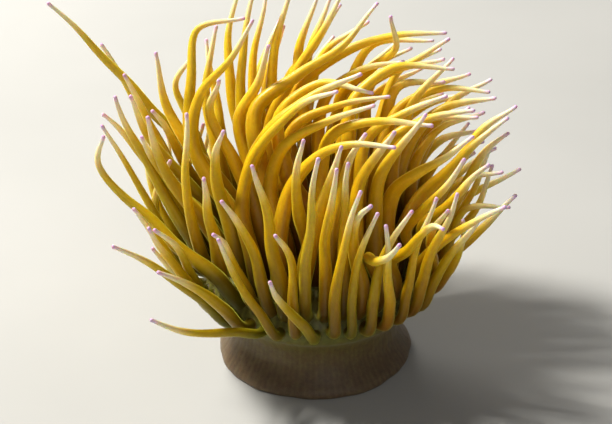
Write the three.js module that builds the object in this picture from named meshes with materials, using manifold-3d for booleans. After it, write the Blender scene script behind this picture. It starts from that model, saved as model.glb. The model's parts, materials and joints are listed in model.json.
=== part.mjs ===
// A snakelocks sea anemone at life size: a flat foot, a short column, and an oral disc whose domed
// margin carries five rings of tentacles that a current lays over towards +X.
// Millimetres, +Z up. The origin is the middle of the foot's flat underside, and -Y is the front.
import * as THREE from "three";
import { mergeVertices } from "three/addons/utils/BufferGeometryUtils.js";
import Module from "manifold-3d";

const wasm = await Module();
wasm.setup();

// ---- Driving dimensions ----
const DISC_HEIGHT = 38; // floor to the top of the oral disc
const CROWN_RADIUS = 33; // widest part, where the outermost tentacles grow
const CROWN_DEPTH = 13; // top of the dome down to its widest part
const WAIST_RADIUS = 24.5; // narrowest part of the column
const FOOT_RADIUS = 29;
const MOUTH_LENGTH = 8;
const MOUTH_WIDTH = 2.6;
const MOUTH_DEPTH = 4;
const LIP_WIDTH = 1.4;
const LIP_HEIGHT = 1.4;
const DISC_DIP = 1; // the bare middle is this much lower at the mouth
const CROWN_THICKNESS = 4; // of the pieces laid round the core
const CROWN_END = 118; // slope, as in the rings below, where the crown's underside meets the column
const FOOT_HEIGHT = 5;
const WAIST_HEIGHT = 11;
const FOOT_SKIRT = 0.6; // how far the foot's edge stands out
const SIDE_SLOPE = 2.2; // how far the column draws in over the foot and spreads again over the waist
const GAP = 0.3; // between solids that meet
const CROWN_MIDDLE = DISC_HEIGHT - CROWN_DEPTH; // height of the widest part

// A ring of tentacles. slope is the angle from the disc's axis, in degrees, that sets a root's
// place on the domed margin.
const RINGS = [
  { count: 12, slope: 23, rootRadius: 2.9, length: 76, steps: 4, sides: 5 },
  { count: 18, slope: 36, rootRadius: 2.9, length: 78, steps: 4, sides: 5 },
  { count: 24, slope: 51, rootRadius: 2.8, length: 74, steps: 4, sides: 5 },
  { count: 36, slope: 68, rootRadius: 2.4, length: 66, steps: 4, sides: 4 },
  { count: 42, slope: 91, rootRadius: 1.9, length: 41, steps: 3, sides: 4 },
];
const TIP_RADIUS = 0.5;
const TAPER = 1.4; // 1 is a plain cone, and more keeps the root's width further up
const ROOT_WAIST = 0.88; // drawn in a little where it joins the disc
const WIDTH_SPREAD = 0.12; // some are stouter than others, by this share
const TUBE_SWELL = 1.08; // a limb of few sides this much wider holds as much as a round one

// The crown is divided into sixths, as the animal has six-fold symmetry, and each sixth into
// three cycles, from one slope to the next, with the rings that grow there.
const SIXTHS = ["right_back", "back", "left_back", "left_front", "front", "right_front"];
const CYCLES = [
  { name: "inner", from: 16, to: 43.5, rings: [0, 1] },
  { name: "middle", from: 43.5, to: 79.5, rings: [2, 3] },
  { name: "outer", from: 79.5, to: CROWN_END, rings: [4] },
];

// ---- Setting out ----
// Poses are set out as the eye sees them from the front: across and up on a plane through the top
// of the disc, square to the line of sight, and back along that line.
const EYE_TILT = THREE.MathUtils.degToRad(30); // the eye looks down by this much
const EYE_DISTANCE = 550;

function seen(across, up, back) {
  const spread = 1 + back / EYE_DISTANCE;
  const sin = Math.sin(EYE_TILT);
  const cos = Math.cos(EYE_TILT);
  return new THREE.Vector3(
    across * spread,
    up * spread * sin + back * cos,
    DISC_HEIGHT + up * spread * cos - back * sin,
  );
}

function depthOf(point) {
  return point.y * Math.cos(EYE_TILT) - (point.z - DISC_HEIGHT) * Math.sin(EYE_TILT);
}

// One row a tentacle: its ring and the bearing of its root in degrees (0 is +X and 270 the front),
// the places it passes, across and up, its tip, across and up, how far back the tip lies, and, for
// those divided into lengths of their own, a name.
const POSED = [
  // the fan that stands out to the left
  [3, 142.5, [[-49.5, 40]], [-79, 72], -8, "far_left"],
  [4, 162, [[-52.5, 42]], [-63, 59], -2],
  [4, 174, [[-50, 36]], [-57, 49.5], -15],
  [3, 172.5, [[-49.5, 30.5]], [-56, 43], -20],
  [4, 198, [[-50, 24.5]], [-60, 43], -24],
  [4, 186, [[-53, 24.5]], [-64, 37], -18],
  [5, 195, [[-56, 20.5]], [-65, 33.5], -25],
  [4, 222, [[-49.5, 8.5], [-63, 22.5], [-67, 29]], [-62.5, 32], -28, "bent_left"],
  [3, 187.5, [[-48, 22.5]], [-52.5, 32], -26],
  [3, 202.5, [[-45, 20.5]], [-50, 37], -30],
  [2, 170, [[-43.5, 36.5]], [-47, 56.5], -12, "tall_left"],
  [4, 155, [[-41, 28.5]], [-46.5, 39], -20],
  [5, 205, [[-45, -3]], [-54, 9.5], -40],
  [5, 215, [[-40, -8]], [-50, 5], -45],
  [5, 185, [[-41, -8]], [-46.5, -2.5], -26],
  [5, 225, [[-42, -12]], [-60, -1.5], -52],
  [5, 235, [[-32, -17]], [-46, -9], -48],
  [5, 245, [[-32, -28.5]], [-49, -25], -44],
  // those that stand up behind it
  [2, 190, [[-37, 27], [-37.5, 51], [-35, 64]], [-22.5, 66], -8, "hooked"],
  [3, 157.5, [[-33, 45]], [-30, 64], 0],
  [4, 145, [[-40, 42], [-41, 48.5]], [-37.5, 55], 5],
  [1, 195, [[-30.5, 39]], [-27.5, 48.5], -28],
  [2, 210, [[-34.5, 24], [-35.5, 36.5], [-30, 50], [-18.5, 59]], [-17.5, 65.5], -25, "front_arch"],
  [3, 217.5, [[-28, 15], [-30, 25.5]], [-27.5, 32], -42],
  [1, 165, [[-22.5, 33.5], [-16, 48.5]], [-14.5, 58], -15],
  [3, 127.5, [[-26, 51]], [-23.5, 75], 12],
  [2, 150, [[-22.5, 46.5]], [-18, 76], 0],
  [2, 130, [[-19, 49.5]], [-13.5, 73.5], 4],
  // the tallest, which lean over to the right
  [2, 110, [[-13, 49.5]], [-5.5, 75.5], 4],
  [2, 90, [[-5, 54]], [1, 73], 10],
  [1, 135, [[-13, 36], [-1, 57]], [9, 74.5], -4],
  [1, 225, [[-18, 36], [-4.5, 50], [11, 60.5]], [19, 71], -8, "high_arch"],
  [2, 70, [[9, 44], [21, 52], [24.5, 57.5]], [22, 65.5], -12, "top_curl"],
  [3, 112.5, [[-7.5, 49.5], [0, 58.5]], [7.5, 70.5], 12],
  [3, 97.5, [[-2, 54]], [5.5, 73], 16],
  [4, 95, [[-1, 50]], [14, 66], 22],
  // the mass that the current lays over to the right
  [3, 82.5, [[15, 54]], [36, 59.5], 12],
  [3, 67.5, [[15, 50]], [28, 58], 14],
  [3, 52.5, [[22, 46]], [38, 57], 16],
  [3, 37.5, [[28, 40]], [46, 50], 12],
  [3, 7.5, [[33, 30]], [51, 38], 4],
  [4, 85, [[8, 42]], [25, 60], 20],
  [4, 75, [[14, 40]], [33, 51], 20],
  [4, 65, [[19, 36]], [39, 43], 18],
  [4, 55, [[25, 35]], [45, 44.5], 16],
  [4, 45, [[30, 30]], [47, 39], 14],
  [4, 35, [[33, 27]], [48, 33], 12],
  [4, 25, [[36, 24]], [51, 29], 8],
  [4, 15, [[37, 18]], [48, 26], 2],
  [1, 105, [[-9, 38], [3, 52.5], [17, 60]], [38.5, 62.5], -2],
  [1, 75, [[1, 38], [10, 49.5]], [27, 53.5], 0],
  [1, 45, [[9, 36], [21, 50.5]], [39.5, 54.5], -3],
  [1, 255, [[-11, 20], [-3, 37]], [21, 43], -20],
  [2, 50, [[18, 50], [34.5, 53.5]], [40.5, 60], 0],
  [2, 30, [[24, 44.5]], [39.5, 47], 2],
  [1, 15, [[25.5, 39.5], [42, 46]], [52, 44.5], -5, "high_right"],
  [2, 10, [[31.5, 35.5]], [53.5, 43], -8],
  [3, 22.5, [[37.5, 37.5]], [53, 48], 8],
  [1, 345, [[28.5, 33]], [49, 36.5], -18],
  [3, 352.5, [[40.5, 18.5], [49, 32.5]], [61.5, 39], -14, "far_right"],
  [3, 337.5, [[30, 8.5], [43.5, 22.5]], [58, 36.5], -22, "broad_right"],
  [4, 354, [[42, 9], [52, 26.5]], [58, 32], -10],
  [4, 6, [[40.5, 16]], [56.5, 20], 0],
  [1, 285, [[-13, 30], [2, 47.5]], [15, 44], -25],
  [2, 230, [[-19.5, 19.5], [-10.5, 36.5]], [13.5, 50], -28],
  [2, 250, [[-13.5, 15], [-7.5, 30]], [16.5, 40.5], -32],
  [3, 232.5, [[-22, 14], [-13, 32], [-2, 42]], [8, 44], -36],
  [3, 247.5, [[-8, 12], [0, 24], [10, 28]], [24, 28], -42],
  [2, 290, [[0, 22], [10, 34]], [33, 34.5], -34],
  [3, 292.5, [[13.5, 16.5], [20, 27.5]], [25, 32], -40],
  [3, 307.5, [[19, 13.5], [25, 27]], [35, 37.5], -36],
  [2, 310, [[14, 26], [26, 38]], [39.5, 43], -24],
  [2, 330, [[20, 26], [34, 36]], [47.5, 39], -18],
  [1, 315, [[12, 44], [26, 52]], [40, 52], -10],
  [2, 350, [[26, 36]], [42, 54], -4],
  // low on the right
  [4, 330, [[27, 2], [36, 12]], [44, 24], -40],
  [4, 342, [[31, 4], [42, 14]], [50, 24], -30],
  [5, 315, [[28, -9]], [36, 12], -42],
  [5, 325, [[33, -7]], [43, 13], -40],
  [5, 355, [[42, 8]], [58, 10], -8],
  [5, 335, [[34.5, -3]], [40.5, 8.5], -38],
  [5, 345, [[42, -5.5]], [46, 5.5], -30],
  [5, 330, [[38, -7]], [50, 6], -34],
  [4, 318, [[23, -7], [30, -2], [35.5, 4]], [40, 3.5], -55, "low_curl"],
  [4, 306, [[15, -6.5], [20, -8]], [25, -3.5], -58],
  [5, 305, [[21, -15]], [20.5, 3], -50],
  [3, 322.5, [[20.5, 4.5], [25, 18], [34.5, 21.5]], [45.5, 31.5], -35],
  // along the front
  [2, 270, [[-6, 12]], [-4, 29.5], -45],
  [3, 262.5, [[2, 10.5]], [8, 28.5], -48, "front_tall"],
  [4, 270, [[3.5, 3.5]], [7, 20], -52],
  [4, 282, [[11, 7.5]], [10.5, 22], -50],
  [3, 277.5, [[7.5, 15]], [14.5, 32], -38],
  [4, 294, [[10.5, 1.5]], [15.5, 12], -52],
  [4, 258, [[-14.5, 6.5]], [-17.5, 22], -52],
  [5, 265, [[-6, -7]], [-11.5, 2], -52],
  [5, 270, [[-9.5, -19]], [-14, -13.5], -48],
  [5, 278, [[7, -11]], [14, 14], -50],
  [5, 210, [[-38, -10]], [-48, 2], -46],
  [5, 285, [[11, -12]], [19, 9], -48],
  [5, 295, [[17, -11]], [27, 10], -46],
  [5, 255, [[-22.5, -13.5]], [-29.5, 0], -50],
  [4, 234, [[-25, -6.5]], [-29, 2], -48],
  [4, 210, [[-32, 5.5]], [-35, 18], -45],
  [4, 246, [[-20, 0.5]], [-28, 11], -50],
];

// ---- Roots and paths ----
// A number from 0 to 1 that looks random and is the same each time.
function noise(seed) {
  const wave = Math.sin(seed * 12.9898 + 4.1414) * 43758.5453;
  return wave - Math.floor(wave);
}

// A root's place on the domed margin, the way it faces, and the way a tentacle rises from it, which
// is nearer to upright.
const RISE_TURN = 0.8;
function rootAt(ring, bearing) {
  const slope = THREE.MathUtils.degToRad(RINGS[ring].slope);
  const turn = THREE.MathUtils.degToRad(bearing);
  const out = new THREE.Vector3(Math.cos(turn), Math.sin(turn), 0);
  const up = new THREE.Vector3(0, 0, 1);
  const place = out.clone().multiplyScalar(CROWN_RADIUS * Math.sin(slope));
  place.z = CROWN_MIDDLE + CROWN_DEPTH * Math.cos(slope);
  const facing = out
    .multiplyScalar(Math.sin(slope) / CROWN_RADIUS)
    .addScaledVector(up, Math.cos(slope) / CROWN_DEPTH)
    .normalize();
  const rise = facing.clone().addScaledVector(up, RISE_TURN * Math.sin(slope)).normalize();
  return { place, facing, rise };
}

// Points at even steps along a smooth curve through the given places.
const CURVE_SAMPLES = 24; // to each span
function evenly(places, steps) {
  const fine = [places[0].clone()];
  for (let span = 0; span + 1 < places.length; span++) {
    const b = places[span];
    const c = places[span + 1];
    const a = span > 0 ? places[span - 1] : b.clone().multiplyScalar(2).sub(c);
    const d = span + 2 < places.length ? places[span + 2] : c.clone().multiplyScalar(2).sub(b);
    for (let i = 1; i <= CURVE_SAMPLES; i++) fine.push(between(a, b, c, d, i / CURVE_SAMPLES));
  }
  const reach = [0];
  for (let i = 1; i < fine.length; i++) reach.push(reach[i - 1] + fine[i].distanceTo(fine[i - 1]));
  const total = reach[reach.length - 1];
  const points = [];
  for (let k = 0, i = 1; k <= steps; k++) {
    const wanted = (total * k) / steps;
    while (i < fine.length - 1 && reach[i] < wanted) i++;
    const share = (wanted - reach[i - 1]) / (reach[i] - reach[i - 1]);
    points.push(fine[i - 1].clone().lerp(fine[i], share));
  }
  return points;
}

// A Catmull-Rom curve from b to c.
function between(a, b, c, d, t) {
  const at = (p, q, r, s) =>
    0.5 * (2 * q + (r - p) * t + (2 * p - 5 * q + 4 * r - s) * t * t + (3 * q - p - 3 * r + s) * t ** 3);
  return new THREE.Vector3(at(a.x, b.x, c.x, d.x), at(a.y, b.y, c.y, d.y), at(a.z, b.z, c.z, d.z));
}

const ROOT_RISE = 7; // a tentacle keeps to the way it rises for about this far

function posedPath(root, { past, tip, back }, steps) {
  const start = depthOf(root.place);
  const places = [root.place, root.place.clone().addScaledVector(root.rise, ROOT_RISE)];
  past.forEach(([across, up], i) => {
    const share = (i + 1) / (past.length + 1);
    places.push(seen(across, up, THREE.MathUtils.lerp(start, back, share)));
  });
  places.push(seen(tip[0], tip[1], back));
  return evenly(places, steps);
}

// The rest lean out from the disc, turn into the current, each in its own way, and curl a little.
const CURRENT = new THREE.Vector3(0.42, 0.1, 0.8); // the way it carries them, with their own lift
const LEAN = 0.32; // how far they lean out from the disc
const LAID_OVER = 0.5; // all but the outermost lie lower and reach less far downstream
const WANDER = 0.5; // how far each strays from its neighbours' way
const TURNED_BY = 0.9; // share of its length by which each has turned into the current
const LAST_CURL = 0.7;
const LENGTH_SPREAD = 0.15; // some are longer than others, by this share
function driftingPath(root, ring, seed, steps) {
  const wander = new THREE.Vector3(noise(seed) - 0.5, noise(seed + 1) - 0.5, noise(seed + 2) - 0.5);
  const out = root.place.clone().setZ(0).normalize();
  const over = ring === RINGS.length - 1 ? 0 : LAID_OVER * Math.max(0, out.x);
  const heading = CURRENT.clone()
    .addScaledVector(out, LEAN)
    .addScaledVector(wander, WANDER);
  heading.setZ(heading.z - over).normalize();
  const curl = heading.clone().cross(wander).setLength(LAST_CURL * noise(seed + 4));
  const length = RINGS[ring].length * (1 - over / 2 + LENGTH_SPREAD * (2 * noise(seed + 3) - 1));
  const points = [root.place.clone()];
  for (let k = 1; k <= steps; k++) {
    const share = (k - 0.5) / steps;
    const way = root.rise.clone().lerp(heading, THREE.MathUtils.smoothstep(share, 0, TURNED_BY));
    way.addScaledVector(curl, share ** 2).setLength(length / steps);
    points.push(points[k - 1].clone().add(way));
  }
  return points;
}

// ---- The tentacles ----
// Each pose is taken by the root of its ring whose bearing is nearest.
function posesByRoot() {
  const poses = new Map();
  for (const [ring, bearing, past, tip, back, name] of POSED) {
    const count = RINGS[ring - 1].count;
    const key = rootKey(ring - 1, Math.floor((bearing * count) / 360) % count);
    if (poses.has(key)) throw new Error(`two poses for the root nearest ${bearing} in ring ${ring}`);
    poses.set(key, { past, tip, back, name });
  }
  return poses;
}

function rootKey(ring, slot) {
  return `${ring} ${slot}`;
}

function growTentacles() {
  const poses = posesByRoot();
  const tentacles = [];
  RINGS.forEach((ring, r) => {
    for (let slot = 0; slot < ring.count; slot++) {
      const bearing = ((slot + 0.5) * 360) / ring.count;
      const root = rootAt(r, bearing);
      const pose = poses.get(rootKey(r, slot));
      const more = pose ? Math.min(2, pose.past.length - 1) : -1;
      const steps = Math.max(3, ring.steps + more);
      const seed = r * 100 + slot * 4;
      const points = pose ? posedPath(root, pose, steps) : driftingPath(root, r, seed, steps);
      const stoutness = 1 + WIDTH_SPREAD * (2 * noise(seed + 0.5) - 1);
      const radii = taper(ring.rootRadius * stoutness, steps);
      const start = points.map((point) => point.clone());
      tentacles.push({ ring: r, bearing, root, points, start, radii, sides: ring.sides, name: pose?.name });
    }
  });
  return tentacles;
}

// Radii from the root to the tip.
function taper(rootRadius, steps) {
  const radii = Array.from(
    { length: steps + 1 },
    (_, k) => TIP_RADIUS + (rootRadius - TIP_RADIUS) * (1 - (k / steps) ** TAPER),
  );
  radii[0] *= ROOT_WAIST;
  return radii;
}

// ---- Room for each ----
// Tentacles that would pass through each other are pushed apart, a little at a time.
const PASSES = 260;
const CLEARANCE = 0.35; // between any two tentacles
const FLOOR_CLEARANCE = 2;
const STIFF_STEPS = 2; // the root's own steps give way least

function give(k) {
  return k === 0 ? 0 : Math.min(1, k / (STIFF_STEPS + 1));
}

function settle(tentacles) {
  const segments = [];
  tentacles.forEach((t, i) => {
    for (let k = 0; k + 1 < t.points.length; k++) segments.push({ t, i, k });
  });
  for (let pass = 0; pass < PASSES; pass++) {
    for (const t of tentacles) {
      t.push = t.points.map(() => new THREE.Vector3());
      t.hits = t.points.map(() => 0);
    }
    for (const s of segments) {
      const a = s.t.points[s.k];
      const b = s.t.points[s.k + 1];
      s.middle = a.clone().add(b).multiplyScalar(0.5);
      s.half = a.distanceTo(b) / 2 + s.t.radii[s.k] * TUBE_SWELL;
    }
    for (let m = 0; m < segments.length; m++)
      for (let n = m + 1; n < segments.length; n++) {
        const s = segments[m];
        const u = segments[n];
        const near = s.half + u.half + CLEARANCE;
        if (s.i !== u.i && s.middle.distanceToSquared(u.middle) < near * near) part(s, u);
      }
    for (const t of tentacles) move(t);
  }
}

// Pushes two segments apart if they are closer than their radii and the clearance.
function part(s, u) {
  const [p, q] = [s.t.points[s.k], u.t.points[u.k]];
  const along = s.t.points[s.k + 1].clone().sub(p);
  const other = u.t.points[u.k + 1].clone().sub(q);
  const { f, g } = nearest(p, along, q, other);
  const apart = p.clone().addScaledVector(along, f).sub(q).addScaledVector(other, -g);
  const wanted =
    (THREE.MathUtils.lerp(s.t.radii[s.k], s.t.radii[s.k + 1], f) +
      THREE.MathUtils.lerp(u.t.radii[u.k], u.t.radii[u.k + 1], g)) *
      TUBE_SWELL +
    CLEARANCE;
  const distance = apart.length();
  if (distance >= wanted || distance < 1e-9) return;
  apart.multiplyScalar((0.5 * (wanted - distance)) / distance);
  for (const [side, k, share, sign] of [
    [s, s.k, 1 - f, 1],
    [s, s.k + 1, f, 1],
    [u, u.k, 1 - g, -1],
    [u, u.k + 1, g, -1],
  ]) {
    side.t.push[k].addScaledVector(apart, sign * share);
    side.t.hits[k] += share;
  }
}

// Where two segments come nearest, as shares of each.
function nearest(p, along, q, other) {
  const clamp = THREE.MathUtils.clamp;
  const from = p.clone().sub(q);
  const a = along.dot(along);
  const e = other.dot(other);
  const b = along.dot(other);
  const c = along.dot(from);
  const h = other.dot(from);
  const spread = a * e - b * b;
  let f = spread > 1e-9 ? clamp((b * h - c * e) / spread, 0, 1) : 0.5;
  const g = clamp((b * f + h) / e, 0, 1);
  f = clamp((b * g - c) / a, 0, 1);
  return { f, g };
}

// Moves a tentacle by what pushed it, and keeps it off the body and the floor. How far it has
// moved in all is evened out along it, so that it keeps the smoothness of its first curve.
const HASTE = 1.6; // over 1, because each pass only goes part of the way
const EVENING = 0.2;
function move(t) {
  const last = t.points.length - 1;
  const moved = t.points.map((point, k) =>
    point
      .clone()
      .sub(t.start[k])
      .addScaledVector(t.push[k], (give(k) * HASTE) / Math.max(1, t.hits[k])),
  );
  t.points.forEach((point, k) => {
    if (k === 0) return;
    const around = moved[k - 1].clone().add(moved[Math.min(k + 1, last)]).multiplyScalar(0.5);
    point.copy(t.start[k]).add(moved[k].clone().lerp(around, EVENING));
    if (k > 1) keepOff(point, t.radii[k] * TUBE_SWELL);
  });
}

function keepOff(point, radius) {
  const reach = Math.hypot(point.x, point.y);
  const wide = CROWN_RADIUS + radius + CLEARANCE;
  const deep = CROWN_DEPTH + radius + CLEARANCE;
  const rise = Math.max(0, point.z - CROWN_MIDDLE);
  const inside = Math.hypot(reach / wide, rise / deep);
  if (inside < 1) {
    point.x /= inside;
    point.y /= inside;
    if (rise > 0) point.z = CROWN_MIDDLE + rise / inside;
  }
  point.z = Math.max(point.z, radius + FLOOR_CLEARANCE);
}

// ---- Solids ----
function manifoldOf(geometry) {
  geometry.deleteAttribute("normal");
  geometry.deleteAttribute("uv");
  const merged = mergeVertices(geometry, 1e-4);
  return new wasm.Manifold(
    new wasm.Mesh({
      numProp: 3,
      vertProperties: merged.attributes.position.array,
      triVerts: new Uint32Array(merged.index.array),
    }),
  );
}

function geometryOf(solid) {
  const mesh = solid.getMesh();
  const geometry = new THREE.BufferGeometry();
  geometry.setAttribute("position", new THREE.BufferAttribute(mesh.vertProperties, 3));
  geometry.setIndex(new THREE.BufferAttribute(mesh.triVerts, 1));
  return geometry;
}

// A profile of [radius, height] turned round +Y. It ends on the axis or closes on itself.
function lathe(profile, steps) {
  const outline = profile.map(([radius, height]) => new THREE.Vector2(radius, height));
  return new THREE.LatheGeometry(outline, steps, Math.PI / 2);
}

// The same about +Z, as a solid.
const TURN_STEPS = 18;
function turned(profile) {
  return manifoldOf(lathe(profile, TURN_STEPS).rotateX(Math.PI / 2));
}

// A limb through points. It is turned straight, with a ring at each whole height, and each ring is
// then carried to its point. Its flat start faces along facing. Its end is flat and square to
// leaving, or a blunt tip where that is null.
function limb(points, radii, sides, facing, leaving) {
  const last = points.length - 1;
  const profile = [[0, 0], ...radii.map((radius, k) => [radius * TUBE_SWELL, k])];
  profile.push([0, leaving ? last : last + 1]);
  const ways = points.map((_, k) =>
    points[Math.min(k + 1, last)].clone().sub(points[Math.max(k - 1, 0)]).normalize(),
  );
  ways[0] = facing.clone();
  if (leaving) ways[last] = leaving.clone();
  const rings = ringsAt(points, ways);
  const tip = { ...rings[last] };
  tip.middle = points[last].clone().addScaledVector(ways[last], radii[last]);
  rings.push(tip);
  const geometry = lathe(profile, sides);
  const position = geometry.attributes.position;
  const place = new THREE.Vector3();
  for (let i = 0; i < position.count; i++) {
    const { middle, side, across } = rings[Math.round(position.getY(i))];
    place.copy(middle).addScaledVector(side, position.getX(i)).addScaledVector(across, position.getZ(i));
    position.setXYZ(i, place.x, place.y, place.z);
  }
  return manifoldOf(geometry);
}

// The two directions of each ring, square to its way and turned as little as can be from the last.
function ringsAt(points, ways) {
  let side = new THREE.Vector3(0, 0, 1).cross(ways[0]);
  if (side.length() < 0.1) side = new THREE.Vector3(1, 0, 0);
  return points.map((middle, k) => {
    side = side.clone().addScaledVector(ways[k], -side.dot(ways[k])).normalize();
    return { middle, side, across: side.clone().cross(ways[k]) };
  });
}

// ---- The body ----
// A point [radius, height] of the crown's dome at a slope in degrees from the axis, or one that
// lies square to the dome at some depth under it.
function onDome(slope, depth = 0) {
  const angle = THREE.MathUtils.degToRad(slope);
  const [across, up] = [Math.sin(angle), Math.cos(angle)];
  const out = new THREE.Vector2(across / CROWN_RADIUS, up / CROWN_DEPTH).normalize();
  return [
    CROWN_RADIUS * across - depth * out.x,
    CROWN_MIDDLE + CROWN_DEPTH * up - depth * out.y,
  ];
}

// Points along the dome, or under it, from one slope to another.
const ARC_STEP = 20; // degrees, about
function arc(from, to, depth) {
  const count = Math.max(1, Math.round(Math.abs(to - from) / ARC_STEP));
  return Array.from({ length: count + 1 }, (_, i) => onDome(from + ((to - from) * i) / count, depth));
}

// The slope that lies a little over half the gap along the dome from the one given.
const GAP_SHARE = 0.6;
function besideSlope(slope, sign) {
  const [r0, z0] = onDome(slope);
  const [r1, z1] = onDome(slope + 1);
  return slope + (sign * GAP_SHARE * GAP) / Math.hypot(r1 - r0, z1 - z0);
}

// A cycle's share of the crown, all the way round.
function crownRing(cycle) {
  const from = besideSlope(cycle.from, 1);
  const to = cycle.to === CROWN_END ? CROWN_END : besideSlope(cycle.to, -1);
  const outside = arc(to, from, 0);
  return turned([...outside, ...arc(from, to, CROWN_THICKNESS), outside[0]]);
}

// The room that one sixth of the crown has, half a gap inside the planes that part the sixths.
function sixthRoom(sixth) {
  const middle = THREE.MathUtils.degToRad(sixth * 60 + 30);
  const corner = new THREE.Vector2(GAP * Math.cos(middle), GAP * Math.sin(middle));
  const reach = 2 * CROWN_RADIUS;
  const outline = [0, 60].map((turn) => {
    const bearing = THREE.MathUtils.degToRad(sixth * 60 + turn);
    return new THREE.Vector2(reach * Math.cos(bearing), reach * Math.sin(bearing)).add(corner);
  });
  const wedge = new THREE.Shape([corner, ...outline]);
  return manifoldOf(new THREE.ExtrudeGeometry(wedge, { depth: DISC_HEIGHT, bevelEnabled: false }));
}

// Where the crown's underside ends, on the outside and at the core.
const [RIM_RADIUS, RIM_HEIGHT] = onDome(CROWN_END);
const [CORE_FOOT_RADIUS, CORE_FOOT_HEIGHT] = onDome(CROWN_END, CROWN_THICKNESS);

function foot() {
  return turned([
    [0, 0],
    [FOOT_RADIUS, 0],
    [FOOT_RADIUS + FOOT_SKIRT, FOOT_HEIGHT / 4],
    [FOOT_RADIUS - SIDE_SLOPE, FOOT_HEIGHT],
    [0, FOOT_HEIGHT],
  ]);
}

function lowerColumn() {
  return turned([
    [0, FOOT_HEIGHT + GAP],
    [FOOT_RADIUS - SIDE_SLOPE, FOOT_HEIGHT + GAP],
    [WAIST_RADIUS + FOOT_SKIRT, (FOOT_HEIGHT + WAIST_HEIGHT) / 2],
    [WAIST_RADIUS, WAIST_HEIGHT],
    [0, WAIST_HEIGHT],
  ]);
}

function upperColumn() {
  return turned([
    [0, WAIST_HEIGHT + GAP],
    [WAIST_RADIUS, WAIST_HEIGHT + GAP],
    [WAIST_RADIUS + SIDE_SLOPE / 4, WAIST_HEIGHT + 3],
    [WAIST_RADIUS + SIDE_SLOPE, WAIST_HEIGHT + 6],
    [RIM_RADIUS, RIM_HEIGHT - GAP],
    [CORE_FOOT_RADIUS, CORE_FOOT_HEIGHT - GAP],
    [0, CORE_FOOT_HEIGHT - GAP],
  ]);
}

// The core, which comes to the surface as the bare middle of the oral disc.
function oralDisc() {
  const top = besideSlope(CYCLES[0].from, -1);
  const [edge, edgeHeight] = onDome(top);
  const core = turned([
    [0, CORE_FOOT_HEIGHT],
    ...arc(CROWN_END, top, CROWN_THICKNESS + GAP),
    [edge, edgeHeight],
    [edge / 2, edgeHeight - DISC_DIP / 2],
    [0, edgeHeight - DISC_DIP],
  ]);
  const slit = new THREE.CylinderGeometry(1, 0.6, MOUTH_DEPTH * 2, 10);
  slit.scale(MOUTH_LENGTH / 2, 1, MOUTH_WIDTH / 2).rotateX(Math.PI / 2);
  slit.translate(0, 0, edgeHeight - DISC_DIP);
  return core.subtract(manifoldOf(slit));
}

// A raised ring round the mouth.
function lips() {
  const outline = new THREE.Shape();
  outline.absellipse(0, 0, MOUTH_LENGTH / 2 + LIP_WIDTH, MOUTH_WIDTH / 2 + LIP_WIDTH, 0, 2 * Math.PI);
  const hole = new THREE.Path();
  hole.absellipse(0, 0, MOUTH_LENGTH / 2, MOUTH_WIDTH / 2, 0, 2 * Math.PI);
  outline.holes.push(hole);
  const ring = new THREE.ExtrudeGeometry(outline, {
    depth: LIP_HEIGHT,
    bevelEnabled: false,
    curveSegments: 5,
  });
  ring.translate(0, 0, onDome(CYCLES[0].from)[1] + GAP);
  return manifoldOf(ring);
}

// ---- The tentacles' solids ----
const ROOT_SINK = 1.2; // a tentacle's solid starts this far under the dome
const CUTS = [0.38, 0.7]; // a named tentacle is divided at about these shares of its length

function sunkRoot(t) {
  return t.root.place.clone().addScaledVector(t.root.facing, -ROOT_SINK);
}

function wholeTentacle(t) {
  return limb([sunkRoot(t), ...t.points.slice(1)], t.radii, t.sides, t.root.facing, null);
}

// The base, middle and tip of a named tentacle, each a gap from the next.
function dividedTentacle(t, dome) {
  const last = t.points.length - 1;
  const cuts = CUTS.map((share) => Math.round(share * last));
  const starts = [0, ...cuts];
  const ends = [...cuts, last];
  return ["base", "middle", "tip"].map((name, i) => {
    const [from, to] = [starts[i], ends[i]];
    const points = t.points.slice(from, to + 1).map((point) => point.clone());
    const way = (k) => t.points[k + 1].clone().sub(t.points[k - 1]).normalize();
    const facing = from === 0 ? t.root.facing : way(from);
    const leaving = to === last ? null : way(to);
    if (from === 0) points[0] = sunkRoot(t);
    else points[0].addScaledVector(facing, GAP / 2);
    if (leaving) points[points.length - 1].addScaledVector(leaving, -GAP / 2);
    const length = limb(points, t.radii.slice(from, to + 1), t.sides, facing, leaving);
    return [name, from === 0 ? length.subtract(dome) : length];
  });
}

// Slopes past the undersides and over the tops of all the roots.
const WELL_UNDER = 150;
const WELL_OVER = 10;

// ---- Assembly ----
const COLOURS = {
  foot: 0x8a5a48,
  column: 0x9a6a4c,
  disc: 0x9c8a3a,
  lips: 0xb08a8c,
  crown: 0xb8a52c,
  base: 0x9aa02a,
  middle: 0xe0bc34,
  tip: 0xdcb6dc,
};
const model = new THREE.Group();

function add(name, solid, colour) {
  const material = new THREE.MeshStandardMaterial({
    color: COLOURS[colour],
    roughness: 0.45,
    metalness: 0,
  });
  const mesh = new THREE.Mesh(geometryOf(solid), material);
  mesh.name = name;
  model.add(mesh);
}

add("foot", foot(), "foot");
add("column_lower", lowerColumn(), "column");
add("column_upper", upperColumn(), "column");
add("oral_disc", oralDisc(), "disc");
add("lips", lips(), "lips");

const tentacles = growTentacles();
settle(tentacles);
for (const cycle of CYCLES) {
  const ring = crownRing(cycle);
  SIXTHS.forEach((sixth, i) => {
    const grown = tentacles.filter(
      (t) => !t.name && cycle.rings.includes(t.ring) && Math.floor(t.bearing / 60) === i,
    );
    const piece = grown.map(wholeTentacle).reduce((a, b) => a.add(b), ring.intersect(sixthRoom(i)));
    add(`${cycle.name}_tentacles_${sixth}`, piece, "crown");
  });
}

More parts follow.
